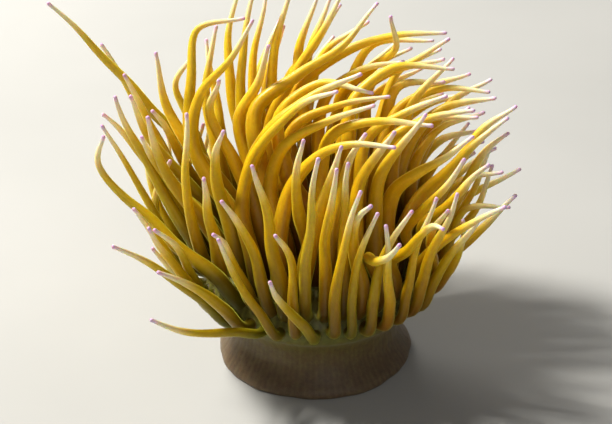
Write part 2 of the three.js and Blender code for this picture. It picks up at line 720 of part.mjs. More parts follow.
// A gap outside the crown, to keep the named tentacles' bases off it.
const dome = turned([
  [0, CROWN_MIDDLE - CROWN_DEPTH],
  ...arc(WELL_UNDER, WELL_OVER, -GAP),
  [0, DISC_HEIGHT + GAP],
]);
for (const t of tentacles)
  if (t.name)
    for (const [length, solid] of dividedTentacle(t, dome)) add(`${t.name}_${length}`, solid, length);

export default model;
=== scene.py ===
"""A life-size snakelocks sea anemone: one skin of flesh grown over its frame of solids."""

import json
import math

import bpy
import numpy as np
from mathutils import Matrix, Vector

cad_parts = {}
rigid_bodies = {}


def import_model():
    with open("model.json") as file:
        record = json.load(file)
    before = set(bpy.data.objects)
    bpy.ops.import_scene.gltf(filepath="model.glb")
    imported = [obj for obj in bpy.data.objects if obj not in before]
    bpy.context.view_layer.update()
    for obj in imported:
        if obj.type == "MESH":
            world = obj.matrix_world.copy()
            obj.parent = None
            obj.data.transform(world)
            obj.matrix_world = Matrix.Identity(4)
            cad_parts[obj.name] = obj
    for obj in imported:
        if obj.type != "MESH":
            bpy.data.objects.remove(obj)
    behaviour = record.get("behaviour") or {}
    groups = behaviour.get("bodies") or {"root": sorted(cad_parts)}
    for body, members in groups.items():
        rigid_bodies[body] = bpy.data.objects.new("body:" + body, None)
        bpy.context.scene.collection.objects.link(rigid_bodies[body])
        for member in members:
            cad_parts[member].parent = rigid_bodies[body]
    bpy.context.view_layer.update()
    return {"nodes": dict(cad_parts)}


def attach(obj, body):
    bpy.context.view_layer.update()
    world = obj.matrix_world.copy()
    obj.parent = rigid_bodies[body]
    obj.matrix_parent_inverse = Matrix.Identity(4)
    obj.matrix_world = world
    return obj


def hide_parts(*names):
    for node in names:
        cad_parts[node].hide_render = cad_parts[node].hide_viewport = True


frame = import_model()
chance = np.random.default_rng(11)

MM = 0.001

# ---- The body's sizes ----
DOME_RADIUS = 33 * MM  # widest part of the crown
DOME_DEPTH = 13 * MM  # from the top of the dome down to its widest part
DOME_MIDDLE = 25 * MM  # height of the widest part
MOUTH_LENGTH = 8 * MM
MOUTH_WIDTH = 2.2 * MM

# ---- The tentacles' sizes ----
FRAME_SWELL = 1.08  # the frame's limbs of few sides are this much wider than the round ones
TIP_POINT = 0.5 * MM  # how far each limb's point stands out from its last ring
TIP_RING = TIP_POINT * FRAME_SWELL  # and that ring's radius
TENTACLES = 132
SIDES = 12  # of a tentacle's skin


# ---- The frame's limbs ----
SAME_PLACE = 1e-6
LIMB_SIDES = (5, 4)


def corners(node):
    """A node's corners, each place once, and the corners that each is joined to."""
    mesh = node.data
    places = np.empty(3 * len(mesh.vertices))
    mesh.vertices.foreach_get("co", places)
    rounded = np.round(places.reshape(-1, 3) / SAME_PLACE)
    spots, index = np.unique(rounded, axis=0, return_inverse=True)
    index = index.ravel()
    joined = [set() for _ in spots]
    for edge in mesh.edges:
        a, b = (index[v] for v in edge.vertices)
        if a != b:
            joined[a].add(b)
            joined[b].add(a)
    return spots * SAME_PLACE, joined


def ring_of(spots, ring):
    """The middle and radius of a ring of corners, and how uneven it is."""
    points = spots[sorted(ring)]
    middle = points.mean(0)
    reach = np.linalg.norm(points - middle, axis=1)
    return middle, reach.mean(), np.ptp(reach)


def ends_of(spots, joined, sides):
    """The corners in the middle of a limb's ends: its tips, and its flat ends."""
    tips, flats = [], []
    for corner, ring in enumerate(joined):
        if len(ring) != sides:
            continue
        middle, radius, uneven = ring_of(spots, ring)
        height = np.linalg.norm(spots[corner] - middle)
        if uneven > 0.02 * MM:
            continue
        if abs(radius - TIP_RING) < 0.02 * MM and abs(height - TIP_POINT) < 0.02 * MM:
            tips.append(corner)
        elif height < 0.01 * MM:
            flats.append(corner)
    return tips, flats


def dome_reach(place):
    """1 on the dome, less under it and more outside it."""
    across = math.hypot(place[0], place[1]) / DOME_RADIUS
    return math.hypot(across, (place[2] - DOME_MIDDLE) / DOME_DEPTH)


def walk(spots, joined, end, sides):
    """A limb's rings from the corner in its end's middle: middles, radii, and its root or None."""
    middles, radii = [], []
    seen = {end}
    ring = set(joined[end])
    while len(ring) > 1:
        middle, radius, _ = ring_of(spots, ring)
        if len(ring) != sides or dome_reach(middle) < 1.04:
            return middles, radii, middle
        middles.append(middle)
        radii.append(radius)
        seen |= ring
        ring = set().union(*(joined[corner] for corner in ring)) - seen
    return middles, radii, None


def whole_limbs(name):
    """The tentacles of a node that holds a bunch of them, from root to tip."""
    spots, joined = corners(frame["nodes"][name])
    limbs = []
    for sides in LIMB_SIDES:
        for tip in ends_of(spots, joined, sides)[0]:
            middles, radii, root = walk(spots, joined, tip, sides)
            limbs.append(limb_of([root, *middles[::-1], spots[tip]], radii[::-1]))
    return limbs


def divided_limb(name, sides):
    """A tentacle in nodes of base, middle and tip, or None if it has another number of sides."""
    lengths = []
    for part in ("base", "middle", "tip"):
        spots, joined = corners(frame["nodes"][f"{name}_{part}"])
        lengths.append((spots, joined, *ends_of(spots, joined, sides)))
    if not lengths[-1][2]:
        return None
    spots, joined, _, flats = lengths[0]
    middles, radii, root = walk(spots, joined, flats[0], sides)
    places, widths = [root, *middles[::-1]], radii[::-1]
    for spots, joined, tips, flats in lengths[1:]:
        near = min(flats, key=lambda corner: np.linalg.norm(spots[corner] - places[-1]))
        middles, radii, _ = walk(spots, joined, near, sides)
        places[-1] = (places[-1] + middles[0]) / 2
        places += middles[1:]
        widths += radii[1:]
    return limb_of([*places, spots[tips[0]]], widths)


def limb_of(places, radii):
    return {"places": np.array(places), "radii": np.array([radii[0], *radii, radii[-1]])}


def read_limbs():
    """Every tentacle of the frame."""
    limbs = []
    for name in sorted(frame["nodes"]):
        if "_tentacles_" in name:
            limbs += whole_limbs(name)
        elif name.endswith("_tip"):
            found = [divided_limb(name[: -len("_tip")], sides) for sides in LIMB_SIDES]
            limbs += [limb for limb in found if limb]
    return limbs


# ---- Living curves ----
LIFT = 2.5 * MM  # a tentacle leaves the disc squarely for about this far
POINTS = 44  # along each curve
SWAY = 0.4 * MM  # how far a curve wanders to each side near its tip
SWAY_LENGTH = (22 * MM, 42 * MM)  # from one bend to the next
CURL = 1.7 * MM  # how far the last of it turns aside
CURL_FROM = 0.76  # share of its length where that starts


def reach_of(places):
    """How far along a line each of its places is."""
    return np.concatenate([[0], np.cumsum(np.linalg.norm(np.diff(places, axis=0), axis=1))])


def smooth_line(places, at):
    """Places on a smooth curve through the given ones, at the given distances along it."""
    reach = reach_of(places)
    slopes = np.gradient(places, reach, axis=0)
    span = np.clip(np.searchsorted(reach, at, side="right") - 1, 0, len(reach) - 2)
    width = (reach[span + 1] - reach[span])[:, None]
    t = (at[:, None] - reach[span][:, None]) / width
    return (
        (2 * t**3 - 3 * t**2 + 1) * places[span]
        + (t**3 - 2 * t**2 + t) * width * slopes[span]
        + (3 * t**2 - 2 * t**3) * places[span + 1]
        + (t**3 - t**2) * width * slopes[span + 1]
    )


def facing_of(place):
    """The way the dome faces at a place on it."""
    steep = (DOME_RADIUS / DOME_DEPTH) ** 2
    way = np.array([place[0], place[1], (place[2] - DOME_MIDDLE) * steep])
    return way / np.linalg.norm(way)


def enliven(limb):
    """Turns a limb's few straight steps into a curve that sways a little and curls at its tip."""
    root = limb["places"][0]
    limb["facing"] = facing_of(root)
    places = np.vstack([[root, root + LIFT * limb["facing"]], limb["places"][1:]])
    radii = np.insert(limb["radii"], 1, limb["radii"][0]) / FRAME_SWELL
    reach = reach_of(places)
    at = np.linspace(0, reach[-1], POINTS)
    share = at / reach[-1]
    line = smooth_line(places, at)
    side = np.cross(places[-1] - root, chance.normal(size=3))
    over = np.cross(places[-1] - root, side)
    side, over = side / np.linalg.norm(side), over / np.linalg.norm(over)
    free = np.clip(2 * share, 0, 1) ** 1.5
    for across in (side, over):
        turns = reach[-1] / chance.uniform(*SWAY_LENGTH)
        wave = np.sin(2 * math.pi * (turns * share + chance.random()))
        line += (SWAY * chance.uniform(0.3, 1) * free * wave)[:, None] * across
    curl = np.clip((share - CURL_FROM) / (1 - CURL_FROM), 0, 1) ** 2
    turn = chance.uniform(0, 2 * math.pi)
    aside = math.cos(turn) * side + math.sin(turn) * over
    limb["line"] = line + (CURL * chance.uniform(0.2, 1) * curl)[:, None] * aside
    limb["widths"] = np.interp(at, reach, radii)


# ---- Room for each ----
CLEARANCE = 0.1 * MM
PASSES = 60
LOOK_AGAIN = 15  # passes from one search for near points to the next
NEARBY = 9 * MM
HOLD = 0.12  # share of its length over which a root gives way least
HASTE = 1.6


def near_points(lines, owner):
    """Pairs of points on different tentacles that are near each other."""
    pairs = []
    for first in range(0, len(lines), 600):
        gap = np.linalg.norm(lines[first : first + 600, None] - lines[None], axis=2)
        a, b = np.nonzero(gap < NEARBY)
        a += first
        keep = (a < b) & (owner[a] != owner[b])
        pairs.append(np.stack([a[keep], b[keep]]))
    return np.hstack(pairs)


def settle(limbs):
    """Moves tentacles that touch apart, and evens out how far each has moved."""
    start = np.vstack([limb["line"] for limb in limbs])
    widths = np.concatenate([limb["widths"] for limb in limbs])
    owner = np.repeat(np.arange(len(limbs)), POINTS)
    give = np.tile(np.clip(np.linspace(0, 1, POINTS) / HOLD, 0, 1), len(limbs))
    moved = np.zeros_like(start)
    for number in range(PASSES):
        lines = start + moved
        if number % LOOK_AGAIN == 0:
            a, b = near_points(lines, owner)
        apart = lines[a] - lines[b]
        gap = np.linalg.norm(apart, axis=1)
        short = np.clip(widths[a] + widths[b] + CLEARANCE - gap, 0, None)
        push = apart * (short / np.maximum(gap, SAME_PLACE) / 2)[:, None]
        hits = np.bincount(a, short > 0, len(lines)) + np.bincount(b, short > 0, len(lines))
        share = HASTE * give / np.maximum(hits, 1)
        for axis in range(3):
            ahead = np.bincount(a, push[:, axis], len(lines))
            back = np.bincount(b, push[:, axis], len(lines))
            moved[:, axis] += share * (ahead - back)
        runs = moved.reshape(len(limbs), POINTS, 3)
        for _ in range(2):
            runs[:, 1:-1] = (runs[:, :-2] + 2 * runs[:, 1:-1] + runs[:, 2:]) / 4
    for limb, line in zip(limbs, (start + moved).reshape(len(limbs), POINTS, 3)):
        limb["line"] = line


# ---- Materials ----
def made(tree, kind, place, feeds=(), **settings):
    """A node with its settings, and a number, a colour or a node's output in each input."""
    new = tree.nodes.new(kind)
    new.location = place
    for key, value in settings.items():
        setattr(new, key, value)
    for name, value in dict(feeds).items():
        if isinstance(value, bpy.types.NodeSocket):
            tree.links.new(value, new.inputs[name])
        else:
            new.inputs[name].default_value = value
    return new


def ramp(tree, place, factor, stops):
    """The colour at a factor, from stops of (factor, colour)."""
    new = made(tree, "ShaderNodeValToRGB", place, {"Fac": factor})
    elements = new.color_ramp.elements
    while len(elements) < len(stops):
        elements.new(0.5)
    for element, (at, colour) in zip(elements, stops):
        element.position = at
        element.color = (*colour, 1)
    return new.outputs["Color"]


def spread(tree, place, value, low, high, to_low, to_high):
    """A value carried from one span to another."""
    spans = {"Value": value, "From Min": low, "From Max": high, "To Min": to_low, "To Max": to_high}
    return made(tree, "ShaderNodeMapRange", place, spans).outputs["Result"]


def sum_of(tree, place, a, b, operation="ADD"):
    return made(tree, "ShaderNodeMath", place, {0: a, 1: b}, operation=operation).outputs[0]


STREAK_SCALE = 2.1
MOTTLE_SCALE = 620.0  # blotches of about a millimetre and a half
SPECK_SCALE = 2300.0  # and specks of under half of one
HUE_DRIFT = 0.09  # how far the mottling turns the hue
STREAK_RELIEF = 0.7  # share of the relief that the streaks give
RELIEF = 0.4 * MM
BLEED = 1.2 * MM  # how far light spreads under the skin
GLOSS = 0.25
SHEEN_ROUGHNESS = 0.35
WET_ROUGHNESS = 0.28


def flesh_group():
    """Streaks along the grain, soft mottling and fine specks: a tinted colour and a height."""
    tree = bpy.data.node_groups.new("flesh_detail", "ShaderNodeTree")
    for name, kind in (
        ("Colour", "NodeSocketColor"),
        ("Grain", "NodeSocketVector"),
        ("Streaks", "NodeSocketFloat"),
        ("Mottling", "NodeSocketFloat"),
        ("Specks", "NodeSocketFloat"),
    ):
        tree.interface.new_socket(name, in_out="INPUT", socket_type=kind)
    for name, kind in (("Colour", "NodeSocketColor"), ("Height", "NodeSocketFloat")):
        tree.interface.new_socket(name, in_out="OUTPUT", socket_type=kind)
    given = made(tree, "NodeGroupInput", (-1200, 0)).outputs
    place = made(tree, "ShaderNodeTexCoord", (-1200, -300)).outputs["Object"]
    fibres = {"Vector": given["Grain"], "Scale": STREAK_SCALE, "Detail": 4.0, "Roughness": 0.62}
    blotches = {"Vector": place, "Scale": MOTTLE_SCALE, "Detail": 3.0, "Roughness": 0.6}
    grains = {"Vector": place, "Scale": SPECK_SCALE, "Randomness": 1.0}
    streak = made(tree, "ShaderNodeTexNoise", (-900, 200), fibres).outputs["Fac"]
    mottle = made(tree, "ShaderNodeTexNoise", (-900, -100), blotches).outputs["Fac"]
    speck = made(tree, "ShaderNodeTexVoronoi", (-900, -400), grains).outputs["Distance"]
    streaky = spread(tree, (-700, 200), streak, 0.25, 0.75, -1, 1)
    mottled = spread(tree, (-700, -100), mottle, 0.3, 0.7, -1, 1)
    specked = spread(tree, (-700, -400), speck, 0.12, 0.42, -1, 0)
    streak_tint = sum_of(tree, (-500, 200), streaky, given["Streaks"], "MULTIPLY")
    mottle_tint = sum_of(tree, (-500, -100), mottled, given["Mottling"], "MULTIPLY")
    speck_tint = sum_of(tree, (-500, -400), specked, given["Specks"], "MULTIPLY")
    tint = sum_of(tree, (-300, 0), sum_of(tree, (-400, 0), streak_tint, mottle_tint), speck_tint)
    value = sum_of(tree, (-200, 0), tint, 1.0)
    hue_drift = sum_of(tree, (-300, -200), mottle_tint, HUE_DRIFT, "MULTIPLY")
    hue = sum_of(tree, (-200, -200), hue_drift, 0.5)
    tints = {"Color": given["Colour"], "Value": value, "Hue": hue, "Saturation": 1.0}
    tinted = made(tree, "ShaderNodeHueSaturation", (0, 100), tints)
    ridges = sum_of(tree, (-100, -100), streak, STREAK_RELIEF, "MULTIPLY")
    bumps = sum_of(tree, (-100, -200), mottle, 1 - STREAK_RELIEF, "MULTIPLY")
    height = sum_of(tree, (0, -100), ridges, bumps)
    made(tree, "NodeGroupOutput", (200, 0), {"Colour": tinted.outputs["Color"], "Height": height})
    return tree


FLESH_DETAIL = flesh_group()


def attribute(tree, place, name, output="Fac"):
    return made(tree, "ShaderNodeAttribute", place, attribute_name=name).outputs[output]


def flesh(name, colour_of, detail, bump, shader):
    """A flesh: colour_of makes its colour, detail sets its streaks, mottling and specks."""
    material = bpy.data.materials.new(name)
    material.use_nodes = True
    tree = material.node_tree
    tree.nodes.clear()
    feeds = {
        "Colour": colour_of(tree),
        "Grain": attribute(tree, (-500, -200), "grain", "Vector"),
        "Streaks": detail[0],
        "Mottling": detail[1],
        "Specks": detail[2],
    }
    drawn = tree.nodes.new("ShaderNodeGroup")
    drawn.node_tree = FLESH_DETAIL
    drawn.location = (-250, 0)
    for socket, value in feeds.items():
        if isinstance(value, bpy.types.NodeSocket):
            tree.links.new(value, drawn.inputs[socket])
        else:
            drawn.inputs[socket].default_value = value
    height = drawn.outputs["Height"]
    relief = {"Height": height, "Strength": bump, "Distance": RELIEF}
    raised = made(tree, "ShaderNodeBump", (0, -200), relief)
    smoothest, roughest = shader["rough"] - 0.07, shader["rough"] + 0.09
    roughness = spread(tree, (0, 0), height, 0.3, 0.7, smoothest, roughest)
    surface = made(
        tree,
        "ShaderNodeBsdfPrincipled",
        (250, 0),
        {
            "Base Color": drawn.outputs["Colour"],
            "Roughness": roughness,
            "Normal": raised.outputs["Normal"],
            "Subsurface Weight": shader["soft"],
            "Subsurface Radius": shader["depth"],
            "Subsurface Scale": BLEED,
            "Specular IOR Level": GLOSS,
            "Sheen Weight": shader["sheen"],
            "Sheen Roughness": SHEEN_ROUGHNESS,
            "Sheen Tint": shader["sheen_tint"],
            "Coat Weight": shader["wet"],
            "Coat Roughness": WET_ROUGHNESS,
        },
    )
    made(tree, "ShaderNodeOutputMaterial", (550, 0), {"Surface": surface.outputs["BSDF"]})
    return material


# Colour along a tentacle, root to tip: the darkening towards the root is painted shade, for roots
# that sit deep among the others; the olive and gold hues are the flesh's own.
GOLDEN = (
    (0.0, (0.10, 0.03, 0.001)),
    (0.12, (0.21, 0.075, 0.001)),
    (0.30, (0.46, 0.22, 0.002)),
    (0.55, (0.78, 0.47, 0.004)),
    (0.80, (0.87, 0.60, 0.035)),
    (1.0, (0.90, 0.72, 0.18)),
)
# The same painted shade towards the root, on the darker greenish ramp.
GREENISH = (
    (0.0, (0.05, 0.055, 0.001)),
    (0.12, (0.115, 0.11, 0.001)),
    (0.30, (0.27, 0.21, 0.002)),
    (0.55, (0.53, 0.37, 0.004)),
    (0.80, (0.76, 0.56, 0.035)),
    (1.0, (0.84, 0.70, 0.18)),
)
# By how near the end of the tentacle is, over the last TIP_LENGTH of it.
TIP = (
    (0.0, (0.89, 0.66, 0.10)),
    (0.45, (0.92, 0.78, 0.34)),
    (0.82, (0.92, 0.84, 0.60)),
    (0.92, (0.86, 0.68, 0.80)),
    (1.0, (0.70, 0.44, 0.76)),
)
TIP_LENGTH = 16 * MM
COLUMN = (
    (0.0, (0.16, 0.11, 0.06)),
    (0.25, (0.125, 0.08, 0.038)),
    (0.62, (0.15, 0.105, 0.035)),
    (0.86, (0.145, 0.12, 0.022)),
    (1.0, (0.11, 0.115, 0.012)),
)
DISC = (
    (0.0, (0.14, 0.13, 0.02)),
    (0.45, (0.24, 0.17, 0.035)),
    (0.72, (0.34, 0.22, 0.07)),
    (0.86, (0.58, 0.36, 0.30)),
    (0.94, (0.62, 0.34, 0.33)),
    (1.0, (0.22, 0.05, 0.05)),
)
STRIPES = 96
COLUMN_STRIPES = 0.07  # how strong they are there
DISC_STRIPES = 0.2
GREEN_STRAY = 0.25  # how far chance greens or gilds a stretch of a tentacle
TIP_FADE = 2.5  # the tip's own colours are all there is after 1 / TIP_FADE of its length


def stripes(tree, place, strength):
    """Pale and dark lines that run up the column and in to the mouth, as a share of a value."""
    spot = made(tree, "ShaderNodeTexCoord", place).outputs["Object"]
    parts = made(tree, "ShaderNodeSeparateXYZ", place, {"Vector": spot})
    turn = sum_of(tree, place, parts.outputs["Y"], parts.outputs["X"], "ARCTAN2")
    turns = sum_of(tree, place, turn, float(STRIPES), "MULTIPLY")
    wave = made(tree, "ShaderNodeMath", place, {0: turns}, operation="SINE")
    return spread(tree, place, wave.outputs[0], -1, 1, 1 - strength, 1 + strength)


def mix_of(tree, place, share, first, second):
    """Two colours mixed by a share."""
    mixed = made(tree, "ShaderNodeMix", place, data_type="RGBA")
    for socket, feed in ((0, share), (6, first), (7, second)):
        tree.links.new(feed, mixed.inputs[socket])
    return mixed.outputs[2]


def tentacle_colour(tree):
    """Gold or green by the tentacle and by chance along it, darker towards the root as painted shade,
    and pale towards a lilac tip; the green share also holds painted shade on the left side.
    """
    along = attribute(tree, (-1500, 200), "along")
    near_end = attribute(tree, (-1500, -400), "near_end")
    grain = attribute(tree, (-1500, -600), "grain", "Vector")
    slow = {"Vector": grain, "Scale": 0.25, "Detail": 1.0}
    drift = made(tree, "ShaderNodeTexNoise", (-1300, -600), slow)
    strayed = spread(tree, (-1100, -600), drift.outputs["Fac"], 0.3, 0.7, -GREEN_STRAY, GREEN_STRAY)
    # The share of the darker greenish ramp: partly the tentacle's own colour, partly painted shade on
    # the left side.
    greens = {0: attribute(tree, (-1500, -200), "green_and_shade"), 1: strayed}
    green_and_shade = made(tree, "ShaderNodeMath", (-900, -400), greens, use_clamp=True).outputs[0]
    golden = ramp(tree, (-1300, 300), along, GOLDEN)
    greenish = ramp(tree, (-1300, 0), along, GREENISH)
    body = mix_of(tree, (-700, 200), green_and_shade, golden, greenish)
    pales = {0: near_end, 1: TIP_FADE}
    share = made(tree, "ShaderNodeMath", (-900, -200), pales, operation="MULTIPLY", use_clamp=True)
    tip = ramp(tree, (-1300, -200), near_end, TIP)
    return mix_of(tree, (-500, 200), share.outputs[0], body, tip)


def striped(tree, colour, strength):
    tints = {"Color": colour, "Value": stripes(tree, (-900, -300), strength)}
    return made(tree, "ShaderNodeHueSaturation", (-600, 0), tints).outputs["Color"]


def column_colour(tree):
    height = spread(tree, (-1100, 200), attribute(tree, (-1300, 200), "along"), -1, -0.2, 0, 1)
    return striped(tree, ramp(tree, (-850, 200), height, COLUMN), COLUMN_STRIPES)


def disc_colour(tree):
    near_mouth = attribute(tree, (-1100, 200), "mouth")
    return striped(tree, ramp(tree, (-850, 200), near_mouth, DISC), DISC_STRIPES)


MATERIALS = [
    flesh(
        "column_flesh",
        column_colour,
        (0.16, 0.14, 0.25),
        0.5,
        dict(
            rough=0.52,
            wet=0.12,
            soft=0.35,
            depth=(1, 0.35, 0.2),
            sheen=0.15,
            sheen_tint=(1, 0.9, 0.8, 1),
        ),
    ),
    flesh(
        "disc_flesh",
        disc_colour,
        (0.14, 0.12, 0.2),
        0.4,
        dict(
            rough=0.4,
            wet=0.2,
            soft=0.3,
            depth=(1, 0.5, 0.2),
            sheen=0.15,
            sheen_tint=(1, 0.95, 0.75, 1),
        ),
    ),
    flesh(
        "tentacle_flesh",
        tentacle_colour,
        (0.1, 0.05, 0.08),
        0.25,
        dict(
            rough=0.35,
            wet=0.06,
            soft=0.45,
            depth=(1, 0.45, 0.05),
            sheen=0.42,
            sheen_tint=(0.95, 1, 0.1, 1),
        ),
    ),
]
COLUMN_KIND, DISC_KIND, TENTACLE_KIND = range(3)


# ---- A tentacle's skin ----
RING_STEP = 1.5 * MM
SINK = 1.6 * MM  # the skin starts this far under the dome
FLARE = 0.2  # it widens by this share where it joins the disc
FLARE_LENGTH = 1.3 * MM
KNOB = 0.12  # its tip swells by this share
KNOB_LENGTH = 0.7 * MM
KNOB_AT = 0.9 * MM  # from the end
SWELLS = 0.035  # it is wider and narrower along its length by this share
OVAL = 0.045  # and less than round by this share
ROOT_STEPS = (0, 0.6, 1.3)  # millimetres from the dome
TENTACLE_GRAIN = 0.09  # turns of the grain for each millimetre along it
OVAL_TWIST = 2.2  # how far, in radians, the oval turns from root to tip
END_STEPS = (1.9, 1.5, 1.15, 0.85, 0.58, 0.34, 0.16, 0.05)  # millimetres from the end


def ring_places(length):
    """How far along its curve each ring of a tentacle's skin is."""
    straight = length - (END_STEPS[0] + 0.4) * MM
    evenly = np.linspace(0, straight, round(straight / RING_STEP) + 1)
    near_root = [-SINK, *(step * MM for step in ROOT_STEPS)]
    near_end = [length - step * MM for step in END_STEPS]
    return np.array([*near_root, *evenly[evenly > (ROOT_STEPS[-1] + 0.5) * MM], *near_end])


def widths_at(limb, at, length):
    """The tentacle's radius at each ring: flared at the root, knobbed and rounded at the tip."""
    phase, share = limb["phase"], at / length
    widths = np.interp(share, np.linspace(0, 1, POINTS), limb["widths"])
    widths *= 1 + FLARE * np.exp(-((np.clip(at, 0, None) / FLARE_LENGTH) ** 2))
    widths *= 1 + SWELLS * np.sin(limb["swells"] * share + phase) * np.sin(9 * share + 2 * phase)
    left = length - at
    widths *= 1 + KNOB * np.exp(-(((left - KNOB_AT) / KNOB_LENGTH) ** 2))
    end = widths[at < length - KNOB_AT][-1]
    rounded = end * np.sqrt(np.clip(1 - (1 - left / end) ** 2, 0, 1))
    return np.where(left < end, rounded, widths)


def spokes_of(line):
    """Unit vectors square to a line at each of its places, turned as little as can be."""
    ways = np.gradient(line, axis=0)
    ways /= np.linalg.norm(ways, axis=1)[:, None]
    side = np.cross(ways[0], (0.3, -0.9, 0.2))
    sides = []
    for way in ways:
        side = side - way * (side @ way)
        side /= np.linalg.norm(side)
        sides.append(side)
    sides = np.array(sides)
    turn = np.arange(SIDES) * 2 * math.pi / SIDES
    overs = np.cross(ways, sides)
    return np.cos(turn)[:, None] * sides[:, None] + np.sin(turn)[:, None] * overs[:, None]


def closed_skin(name, rings, start, end, room, kinds, values):
    """A closed mesh through rings of places, from a point at the start to one at the end.

    room is its place on the skin's map (left, low, width, height), kinds the material of each ring,
    and values what its corners hold, ring by ring, then at the start and at the end.
    """
    count, steps = len(rings), len(rings[0])
    left, low, width, height = room
    spots = np.vstack([np.reshape(rings, (-1, 3)), [start], [end]])
    first, last = count * steps, count * steps + 1
    faces, places, face_kinds = [], [], []

    def on_map(turn, row):
        return left + width * turn / steps, low + height * row / (count + 1)

    for step in range(steps):
        a, b = step, (step + 1) % steps
        faces.append((first, b, a))
        places += [on_map(step + 0.5, 0), on_map(step + 1, 1), on_map(step, 1)]
        face_kinds.append(kinds[0])
    for row in range(count - 1):
        for step in range(steps):
            a, b = row * steps + step, row * steps + (step + 1) % steps
            faces.append((a, b, b + steps, a + steps))
            places += [on_map(step, row + 1), on_map(step + 1, row + 1)]
            places += [on_map(step + 1, row + 2), on_map(step, row + 2)]
            face_kinds.append(kinds[row])
    for step in range(steps):
        a, b = first - steps + step, first - steps + (step + 1) % steps
        faces.append((a, b, last))
        places += [on_map(step, count), on_map(step + 1, count), on_map(step + 0.5, count + 1)]
        face_kinds.append(kinds[-1])
    mesh = bpy.data.meshes.new(name)
    mesh.from_pydata(spots.tolist(), [], faces)
    chart = mesh.uv_layers.new(name="OFBake")
    chart.data.foreach_set("uv", np.array(places, np.float32).ravel())
    mesh.polygons.foreach_set("material_index", face_kinds)
    for material in MATERIALS:
        mesh.materials.append(material)
    for key, value in values.items():
        flat = np.asarray(value, np.float32)
        if flat.ndim == 2:
            held = mesh.attributes.new(key, "FLOAT_VECTOR", "POINT")
            held.data.foreach_set("vector", flat.ravel())
        else:
            held = mesh.attributes.new(key, "FLOAT", "POINT")
            held.data.foreach_set("value", flat)
    return mesh


def tentacle_mesh(limb, room):
    """One tentacle's closed skin along its curve, with what its flesh needs to know."""
    line = limb["line"]
    reach = reach_of(line)
    length = reach[-1]
    at = ring_places(length)
    middles = smooth_line(line, np.clip(at, 0, length))
    middles[0] -= SINK * limb["facing"]
    widths = widths_at(limb, at, length)
    turn = np.arange(SIDES) * 2 * math.pi / SIDES
    share = np.clip(at / length, 0, 1)
    oval = 1 + OVAL * np.cos(2 * (turn - limb["phase"] - OVAL_TWIST * share[:, None]))
    rings = middles[:, None] + spokes_of(middles) * (widths[:, None] * oval)[:, :, None]
    along = np.concatenate([np.repeat(share, SIDES), [0, 1]])
    around = np.concatenate([np.tile(turn, len(at)), [0, 0]])
    up_grain = TENTACLE_GRAIN * along * length / MM
    grain = np.stack([np.cos(around), np.sin(around), up_grain], 1) + limb["grain"]
    values = {
        "along": along,
        "green_and_shade": np.full(len(along), limb["green_and_shade"]),
        "grain": grain,
        "mouth": np.zeros(len(along)),
        "near_end": np.clip(1 - (1 - along) * length / TIP_LENGTH, 0, 1),
    }
    kinds = [TENTACLE_KIND] * len(at)
    return closed_skin("tentacle", rings, middles[0], line[-1], room, kinds, values)


# ---- The body's skin ----
TURN = 192  # steps round the body
CROWN_FROM = 116  # slope of the dome, in degrees, where the column meets it
DISC_SLOPE = 16  # and where the bare disc starts
DISC_EDGE = DOME_RADIUS * math.sin(math.radians(DISC_SLOPE))
DISC_HEIGHT = DOME_MIDDLE + DOME_DEPTH * math.cos(math.radians(DISC_SLOPE))
# Radius and height in millimetres, from the foot's underside up to the crown.
SIDE = (
    (10, 0), (20, 0), (26, 0), (28.6, 0), (29.3, 0.3), (29.5, 1.1), (29.1, 2.1), (28.2, 3.2),
    (27.2, 4.4), (26.2, 5.9), (25.4, 7.6), (24.8, 9.4), (24.5, 11.2), (24.6, 12.8), (25.2, 14.6),
    (26.3, 16.4), (27.8, 17.9),
)  # fmt: skip
# Share of the way from the mouth's edge to the disc's, and height over the disc in millimetres.
MOUTH = (
    (0.82, -0.22), (0.64, -0.4), (0.48, -0.4), (0.34, -0.15), (0.24, 0.25), (0.16, 0.5),
    (0.09, 0.45), (0.03, 0.15), (-0.02, -0.5), (-0.07, -1.8), (-0.16, -3.4), (-0.3, -4.6),
)  # fmt: skip
MOUTH_DEPTH = 5.2 * MM
CREASE = 0.24  # millimetres, of the folds that run round the column
UNEVEN = 0.4  # and of its bulges


